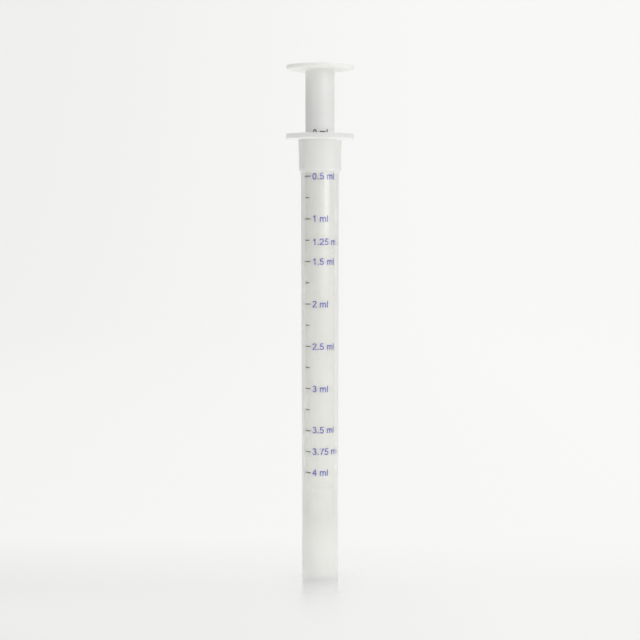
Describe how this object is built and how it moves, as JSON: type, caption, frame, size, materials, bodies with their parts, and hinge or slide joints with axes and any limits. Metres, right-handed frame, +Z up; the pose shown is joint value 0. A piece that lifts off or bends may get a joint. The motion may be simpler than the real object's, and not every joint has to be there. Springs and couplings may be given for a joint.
{
  "type": "oral dosing pipette",
  "caption": "Plunger-type dosing pipette: translucent barrel with flat foot, plug collar and finger flange, and a hollow plunger whose stem carries a millilitre scale.",
  "frame": {"origin": "centre of the barrel's flat foot, which it stands on", "axes": "+Z up the common axis of barrel and plunger, towards the thumb disc; the scale faces -Y"},
  "size_m": [0.0164, 0.0164, 0.1244],
  "materials": {
    "barrel_plastic": "natural low-density polyethylene, milky and translucent, satin moulded surface",
    "plunger_plastic": "white moulded plastic with a soft gloss, with the scale printed in dark blue ink",
    "scale_ink": "dark blue printing ink"
  },
  "bodies": {
    "barrel": {"barrel": "barrel_plastic"},
    "plunger": {"plunger": "plunger_plastic"}
  },
  "joints": [
    {"name": "plunger_slide", "type": "slide", "parent": "barrel", "child": "plunger", "axis": [0, 0, 1], "range_m": [0, 0.0836]}
  ]
}
